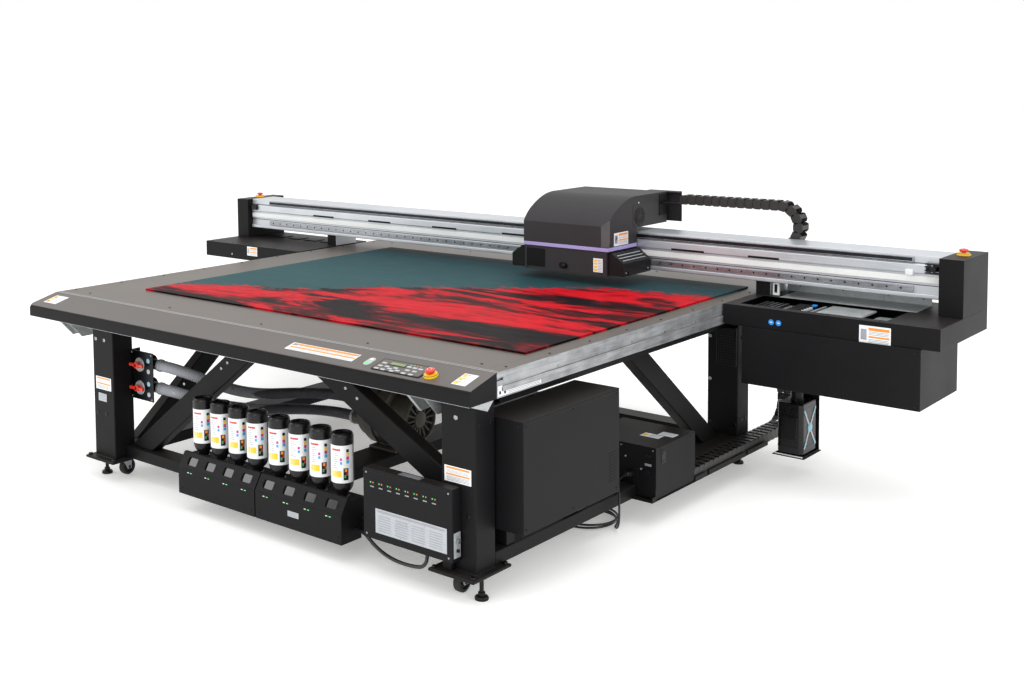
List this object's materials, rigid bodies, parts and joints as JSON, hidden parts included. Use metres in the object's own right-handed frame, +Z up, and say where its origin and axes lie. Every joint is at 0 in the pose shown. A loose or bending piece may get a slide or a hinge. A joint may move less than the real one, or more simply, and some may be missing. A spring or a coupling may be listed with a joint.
{
  "type": "flatbed uv printer",
  "caption": "Free-standing flatbed UV printer: suction bed on a braced frame, travelling gantry with print carriage, ink station, electrics and suction blower.",
  "frame": {"origin": "on the floor under the middle of the machine's outline", "axes": "+X to the right along the front edge and the gantry, +Y from the front panel to the back, +Z up"},
  "size_m": [4.4, 2.49, 1.215],
  "materials": {
    "black_powder_coat": "fine-grained satin black powder coat",
    "grey_anodised": "matt warm-grey anodised aluminium",
    "bright_aluminium": "drawn bright aluminium with fine lines along its length",
    "dark_grey_paint": "semi-gloss dark grey paint",
    "zinc_plate": "pale zinc-plated sheet steel",
    "print_film": "printed gloss film on a rigid board",
    "black_plastic": "moulded black plastic",
    "red_plastic": "glossy red plastic",
    "olive_paint": "olive-grey paint on castings",
    "grey_hose": "ribbed grey hose",
    "black_rubber": "flexible black jacket",
    "wheel_rubber": "black rubber tread on a grey hub",
    "steel": "zinc-plated pressed steel",
    "green_lens": "clear push button with a green lamp",
    "dark_steel": "blackened steel"
  },
  "bodies": {
    "machine": {"legs": "black_powder_coat", "frame_beams": "black_powder_coat", "braces": "black_powder_coat", "bed_table": "grey_anodised", "bed_side_rails": "bright_aluminium", "front_panel": "dark_grey_paint", "front_brackets": "zinc_plate", "printed_board": "print_film", "ink_racks": "black_plastic", "ink_controller": "black_powder_coat", "valve_panel": "black_powder_coat", "blower": "olive_paint", "suction_hose_upper": "grey_hose", "suction_hose_lower": "grey_hose", "electrics_cabinet": "black_powder_coat", "power_box": "black_powder_coat", "power_plugs": "black_plastic", "power_cord": "black_rubber", "power_cord_coil": "black_rubber", "signal_cable": "black_rubber", "chain_tray": "black_powder_coat", "floor_chain_lower": "black_plastic", "levelling_feet": "dark_steel"},
    "gantry": {"gantry_beam": "bright_aluminium", "end_covers": "black_powder_coat", "side_trays": "black_powder_coat", "lower_cover": "black_powder_coat", "station": "zinc_plate", "waste_shelf": "black_powder_coat", "carriage_chain_lower": "black_plastic"},
    "carriage": {"carriage_body": "dark_grey_paint", "carriage_cover": "dark_grey_paint", "uv_lamps": "dark_steel", "carriage_chain_upper": "black_plastic"},
    "carriage_chain": {"carriage_chain_bend": "black_plastic"},
    "floor_chain": {"floor_chain_bend": "black_plastic"},
    "waste_tank": {"waste_tank": "black_plastic"},
    "panel_stop": {"panel_stop_button": "red_plastic"},
    "power_button": {"power_button": "green_lens"},
    "gantry_stop_right": {"gantry_stop_right": "red_plastic"},
    "gantry_stop_left": {"gantry_stop_left": "red_plastic"},
    "valve_handle_upper": {"valve_handle_upper": "red_plastic"},
    "valve_handle_lower": {"valve_handle_lower": "red_plastic"},
    "power_switch": {"power_switch": "black_plastic"},
    "caster_fork_front_right": {"caster_fork_front_right": "steel"},
    "caster_wheel_front_right": {"caster_wheel_front_right": "wheel_rubber"},
    "caster_fork_front_left": {"caster_fork_front_left": "steel"},
    "caster_wheel_front_left": {"caster_wheel_front_left": "wheel_rubber"},
    "caster_fork_rear_right": {"caster_fork_rear_right": "steel"},
    "caster_wheel_rear_right": {"caster_wheel_rear_right": "wheel_rubber"},
    "caster_fork_rear_left": {"caster_fork_rear_left": "steel"},
    "caster_wheel_rear_left": {"caster_wheel_rear_left": "wheel_rubber"},
    "ink_bottle_1": {"ink_bottle_1": "black_plastic"},
    "ink_bottle_2": {"ink_bottle_2": "black_plastic"},
    "ink_bottle_3": {"ink_bottle_3": "black_plastic"},
    "ink_bottle_4": {"ink_bottle_4": "black_plastic"},
    "ink_bottle_5": {"ink_bottle_5": "black_plastic"},
    "ink_bottle_6": {"ink_bottle_6": "black_plastic"},
    "ink_bottle_7": {"ink_bottle_7": "black_plastic"},
    "ink_bottle_8": {"ink_bottle_8": "black_plastic"}
  },
  "joints": [
    {"name": "gantry_travel", "type": "slide", "parent": "machine", "child": "gantry", "axis": [0, 1, 0], "range_m": [-1.48, 0.03], "deforming": ["floor_chain_lower"]},
    {"name": "carriage_travel", "type": "slide", "parent": "gantry", "child": "carriage", "axis": [1, 0, 0], "range_m": [-2.15, 0.9], "deforming": ["carriage_chain_upper", "carriage_chain_lower"]},
    {"name": "carriage_chain_travel", "type": "slide", "parent": "gantry", "child": "carriage_chain", "axis": [1, 0, 0], "range_m": [-1.08, 0.455]},
    {"name": "floor_chain_travel", "type": "slide", "parent": "machine", "child": "floor_chain", "axis": [0, 1, 0], "range_m": [-0.745, 0.02]},
    {"name": "waste_tank_slide", "type": "slide", "parent": "gantry", "child": "waste_tank", "axis": [0, -1, 0], "range_m": [0, 0.25]},
    {"name": "panel_stop_press", "type": "slide", "parent": "machine", "child": "panel_stop", "axis": [0, 0.247, -0.969], "range_m": [0, 0.004], "stiffness_N_per_m": 600, "springref_m": -0.002},
    {"name": "power_button_press", "type": "slide", "parent": "machine", "child": "power_button", "axis": [0, 0.247, -0.969], "range_m": [0, 0.003], "stiffness_N_per_m": 600, "springref_m": -0.002},
    {"name": "gantry_stop_right_press", "type": "slide", "parent": "gantry", "child": "gantry_stop_right", "axis": [0, 0, -1], "range_m": [0, 0.004], "stiffness_N_per_m": 600, "springref_m": -0.002},
    {"name": "gantry_stop_left_press", "type": "slide", "parent": "gantry", "child": "gantry_stop_left", "axis": [0, 0, -1], "range_m": [0, 0.004], "stiffness_N_per_m": 600, "springref_m": -0.002},
    {"name": "valve_handle_upper_turn", "type": "hinge", "parent": "machine", "child": "valve_handle_upper", "pos_m": [-0.735, -1.1, 0.53], "axis": [0, -1, 0], "range_deg": [0, 90]},
    {"name": "valve_handle_lower_turn", "type": "hinge", "parent": "machine", "child": "valve_handle_lower", "pos_m": [-0.735, -1.1, 0.425], "axis": [0, -1, 0], "range_deg": [0, 90]},
    {"name": "power_switch_rock", "type": "hinge", "parent": "machine", "child": "power_switch", "pos_m": [1.332, -0.07, 0.27], "axis": [0, 1, 0], "range_deg": [-6, 6]},
    {"name": "caster_swivel_front_right", "type": "hinge", "parent": "machine", "child": "caster_fork_front_right", "pos_m": [1.149, -1.162, 0.08], "axis": [0, 0, 1], "continuous": true},
    {"name": "caster_roll_front_right", "type": "hinge", "parent": "caster_fork_front_right", "child": "caster_wheel_front_right", "pos_m": [1.149, -1.142, 0.039], "axis": [1, 0, 0], "continuous": true},
    {"name": "caster_swivel_front_left", "type": "hinge", "parent": "machine", "child": "caster_fork_front_left", "pos_m": [-0.852, -1.109, 0.08], "axis": [0, 0, 1], "continuous": true},
    {"name": "caster_roll_front_left", "type": "hinge", "parent": "caster_fork_front_left", "child": "caster_wheel_front_left", "pos_m": [-0.852, -1.089, 0.039], "axis": [1, 0, 0], "continuous": true},
    {"name": "caster_swivel_rear_right", "type": "hinge", "parent": "machine", "child": "caster_fork_rear_right", "pos_m": [1.125, 0.825, 0.08], "axis": [0, 0, 1], "continuous": true},
    {"name": "caster_roll_rear_right", "type": "hinge", "parent": "caster_fork_rear_right", "child": "caster_wheel_rear_right", "pos_m": [1.125, 0.845, 0.039], "axis": [1, 0, 0], "continuous": true},
    {"name": "caster_swivel_rear_left", "type": "hinge", "parent": "machine", "child": "caster_fork_rear_left", "pos_m": [-0.852, 0.825, 0.08], "axis": [0, 0, 1], "continuous": true},
    {"name": "caster_roll_rear_left", "type": "hinge", "parent": "caster_fork_rear_left", "child": "caster_wheel_rear_left", "pos_m": [-0.852, 0.845, 0.039], "axis": [1, 0, 0], "continuous": true},
    {"name": "ink_bottle_1_lift", "type": "slide", "parent": "machine", "child": "ink_bottle_1", "axis": [0, 0, 1], "range_m": [0, 0.16]},
    {"name": "ink_bottle_2_lift", "type": "slide", "parent": "machine", "child": "ink_bottle_2", "axis": [0, 0, 1], "range_m": [0, 0.16]},
    {"name": "ink_bottle_3_lift", "type": "slide", "parent": "machine", "child": "ink_bottle_3", "axis": [0, 0, 1], "range_m": [0, 0.16]},
    {"name": "ink_bottle_4_lift", "type": "slide", "parent": "machine", "child": "ink_bottle_4", "axis": [0, 0, 1], "range_m": [0, 0.16]},
    {"name": "ink_bottle_5_lift", "type": "slide", "parent": "machine", "child": "ink_bottle_5", "axis": [0, 0, 1], "range_m": [0, 0.16]},
    {"name": "ink_bottle_6_lift", "type": "slide", "parent": "machine", "child": "ink_bottle_6", "axis": [0, 0, 1], "range_m": [0, 0.16]},
    {"name": "ink_bottle_7_lift", "type": "slide", "parent": "machine", "child": "ink_bottle_7", "axis": [0, 0, 1], "range_m": [0, 0.16]},
    {"name": "ink_bottle_8_lift", "type": "slide", "parent": "machine", "child": "ink_bottle_8", "axis": [0, 0, 1], "range_m": [0, 0.16]}
  ],
  "couplings": [
    {"joint": "carriage_chain_travel", "follows": "carriage_travel", "ratio": 0.5},
    {"joint": "floor_chain_travel", "follows": "gantry_travel", "ratio": 0.5}
  ]
}
